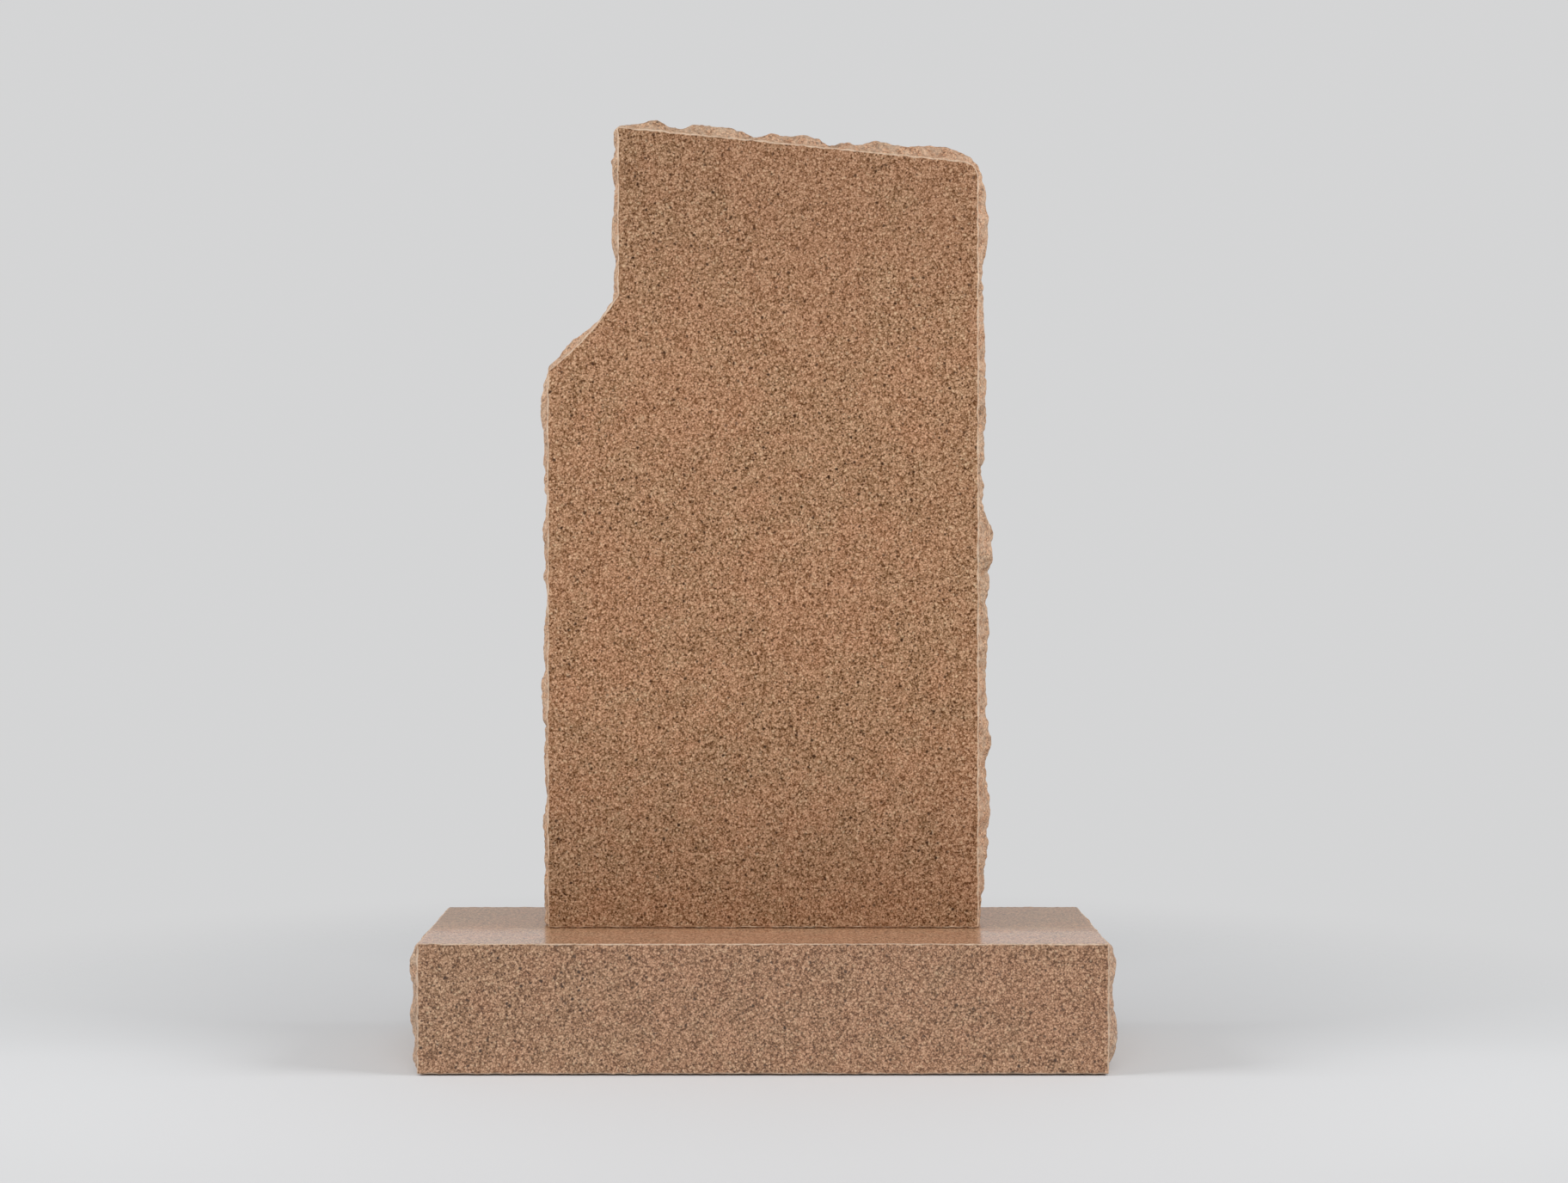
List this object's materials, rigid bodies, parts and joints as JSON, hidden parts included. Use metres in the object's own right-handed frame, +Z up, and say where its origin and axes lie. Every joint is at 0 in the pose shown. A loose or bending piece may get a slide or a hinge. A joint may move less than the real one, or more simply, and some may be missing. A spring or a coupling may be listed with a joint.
{
  "type": "grave marker",
  "caption": "Upright granite tablet with flat faces, rock-pitched edges and a notched upper corner, standing on a wide low base.",
  "frame": {"origin": "middle of the base's underside, where the marker stands on its foundation", "axes": "+X across the front to the viewer's right, +Y from the front to the back, +Z up; the flat fronts of both stones face -Y"},
  "size_m": [0.7871, 0.305, 1.0719],
  "materials": {
    "tablet_granite": "warm brown speckled granite, fine-axed flat faces and rock-pitched edges",
    "base_granite": "warm brown speckled granite, polished top, fine-axed front and back, rock-pitched ends"
  },
  "bodies": {
    "root": {"base": "base_granite", "tablet": "tablet_granite"}
  },
  "joints": []
}
